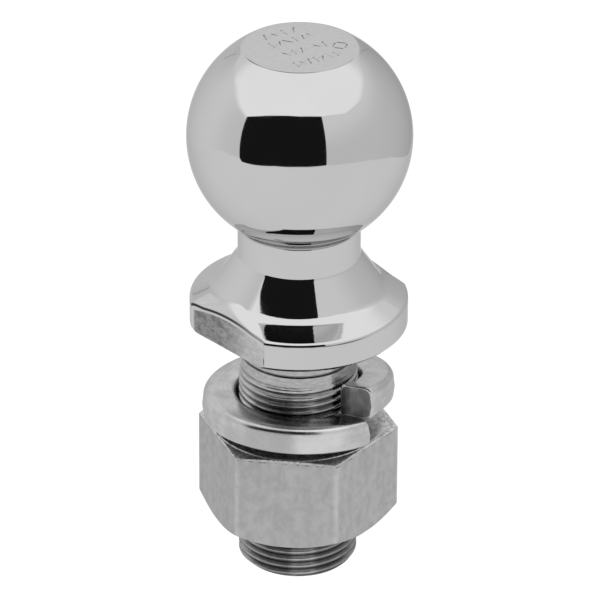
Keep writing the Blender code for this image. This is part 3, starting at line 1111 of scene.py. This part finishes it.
def softbox_glow(right, toward_camera):
    """Bright over the object, fading softly at the sides and towards the back."""
    left_edge = along(SOFTBOX_LEFT, toward_camera)
    right_edge = along(SOFTBOX_RIGHT, toward_camera)
    past_left = smooth((right - left_edge) / SOFT_SIDE + 0.5)
    short_of_right = smooth((right_edge - right) / SOFT_SIDE + 0.5)
    inside = past_left * short_of_right
    back = mix(SOFTBOX_LEVEL, CEILING_LEVEL, smooth((SOFTBOX_FRONT - toward_camera) / SOFT_BACK))
    return mix(SIDE_LEVEL, back, inside)


# The softbox's dark back seam, as (azimuth from the camera, elevation) in degrees.
SEAM_LEFT = ((-150, 7), (-149, 12), (-148, 17), (-147, 19))
SEAM_RIGHT = ((147, 23), (149, 20), (158, 4), (161, -6), (166, -15))
SEAM_DISTANCE = 0.34
SEAM_LEVEL = 0.62
SEAM_HALF_WIDTH = 0.5


def seam(name, line, material):
    """A narrow dark ribbon behind the object."""
    rows = []
    for azimuth, elevation in line:
        row = []
        for offset in (-SEAM_HALF_WIDTH, SEAM_HALF_WIDTH):
            turn, rise = math.radians(azimuth + offset), math.radians(elevation)
            flat = SEAM_DISTANCE * math.cos(rise)
            height = BALL_CENTRE + SEAM_DISTANCE * math.sin(rise)
            point = studio_point(flat * math.sin(turn), flat * math.cos(turn), height)
            row.append((point, SEAM_LEVEL))
        rows.append(row)
    panel(name, rows, False, material)


def left_glow(side, level):
    """The left wall: paler along its middle, and lit by the softbox at its head."""
    middle = mix(0.84, 0.97, smooth(side * 2)) - 0.16 * smooth(side * 2 - 1) * smooth(level * 2)
    return middle + 0.26 * smooth((level - 0.82) / 0.18) * smooth(1.6 - side * 3)


def right_glow(side, level):
    """The right wall: paler upwards and darker towards the back."""
    return mix(0.82, 0.97, smooth(level * 1.4 - 0.3)) - 0.1 * smooth(side * 1.6 - 0.6)


def make_studio():
    """Pale floor, overhead softbox, pale side walls and a dark opening towards the camera."""
    material = glowing("studio_light")
    lines = (-FLOOR_REACH, 0, FLOOR_REACH)
    floor = [[(studio_point(x, y, 0.0), FLOOR_LEVEL) for x in lines] for y in lines]
    panel("floor", floor, True, floor_material())
    curtain("opening", OPENING_FOOT, OPENING_HEAD, lambda side, level: OPENING_LEVEL, material)
    curtain("right_wall", RIGHT_FOOT, RIGHT_HEAD, right_glow, material)
    curtain("left_wall", LEFT_FOOT, LEFT_HEAD, left_glow, material)
    ceiling = []
    for j in range(PANEL_STEPS + 1):
        row = []
        for i in range(PANEL_STEPS + 1):
            right = mix(*SOFTBOX_WIDTH, i / PANEL_STEPS)
            toward_camera = mix(SOFTBOX_BACK, along_front(right), j / PANEL_STEPS)
            point = studio_point(right, toward_camera, CEILING + PANEL_GAP)
            row.append((point, softbox_glow(right, toward_camera)))
        ceiling.append(row)
    panel("softbox", ceiling, False, material)
    seam("seam_left", SEAM_LEFT, material)
    seam("seam_right", SEAM_RIGHT, material)


def along_front(right):
    """How far towards the camera the softbox reaches at this place across."""
    line = OPENING_HEAD + ((0.9, 0.65), (1.2, 0.3))
    for (x0, y0), (x1, y1) in zip(line, line[1:]):
        if x1 >= right:
            return mix(y0, y1, max(0.0, (right - x0) / (x1 - x0)))
    return line[-1][1]


def seen_or_reflected(tree, reflected):
    """A strength that is white to the camera and this share of the studio's in reflections."""
    path = tree.nodes.new("ShaderNodeLightPath")
    level = tree.nodes.new("ShaderNodeMapRange")
    level.inputs["To Min"].default_value = reflected * STUDIO_LEVEL
    level.inputs["To Max"].default_value = BACKDROP_SEEN
    tree.links.new(path.outputs["Is Camera Ray"], level.inputs["Value"])
    return level.outputs[0]


def floor_material():
    """Pale seamless floor: white to the camera and a little greyer in reflections."""
    material = bpy.data.materials.new("floor_paper")
    material.use_nodes = True
    material.cycles.emission_sampling = "NONE"
    tree = material.node_tree
    tree.nodes.clear()
    emission = tree.nodes.new("ShaderNodeEmission")
    output = tree.nodes.new("ShaderNodeOutputMaterial")
    tree.links.new(seen_or_reflected(tree, FLOOR_REFLECTED), emission.inputs["Strength"])
    tree.links.new(emission.outputs[0], output.inputs["Surface"])
    return material


def make_world():
    """White backdrop, a little greyer in reflections."""
    world = bpy.data.worlds.new("studio")
    bpy.context.scene.world = world
    world.use_nodes = True
    tree = world.node_tree
    background = tree.nodes["Background"]
    background.inputs["Color"].default_value = (1, 1, 1, 1)
    tree.links.new(seen_or_reflected(tree, BACKDROP_REFLECTED), background.inputs["Strength"])


def make_camera(low, high):
    """A long lens from a little above, aimed just over the middle of the object."""
    data = bpy.data.cameras.new("camera")
    data.lens = CAMERA_LENS
    data.sensor_width = CAMERA_SENSOR
    data.clip_start, data.clip_end = CAMERA_CLIP
    camera = bpy.data.objects.new("camera", data)
    bpy.context.scene.collection.objects.link(camera)
    back = TOWARD * math.cos(CAMERA_ELEVATION) + UP * math.sin(CAMERA_ELEVATION)
    up = UP * math.cos(CAMERA_ELEVATION) - TOWARD * math.sin(CAMERA_ELEVATION)
    right = RIGHT * math.cos(CAMERA_ROLL) + up * math.sin(CAMERA_ROLL)
    aim = Vector((0, 0, (low.z + high.z) / 2 + CAMERA_AIM))
    camera.location = aim + back * CAMERA_DISTANCE + RIGHT * CAMERA_SIDESTEP
    upward = back.cross(right)
    turn = (
        (right.x, upward.x, back.x),
        (right.y, upward.y, back.y),
        (right.z, upward.z, back.z),
    )
    camera.rotation_mode = "QUATERNION"
    camera.rotation_quaternion = Matrix(turn).to_quaternion()
    bpy.context.scene.camera = camera


def main():
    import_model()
    cad_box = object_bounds()
    make_stud([polished_chrome(), stamped_chrome(), milled_chrome(), threaded_chrome()])
    make_washer([washer_zinc(), sheared_steel()])
    make_nut([nut_zinc(), tapped_steel()])
    make_studio()
    make_world()
    make_camera(*cad_box)
    bpy.context.scene.view_settings.view_transform = "Standard"


main()
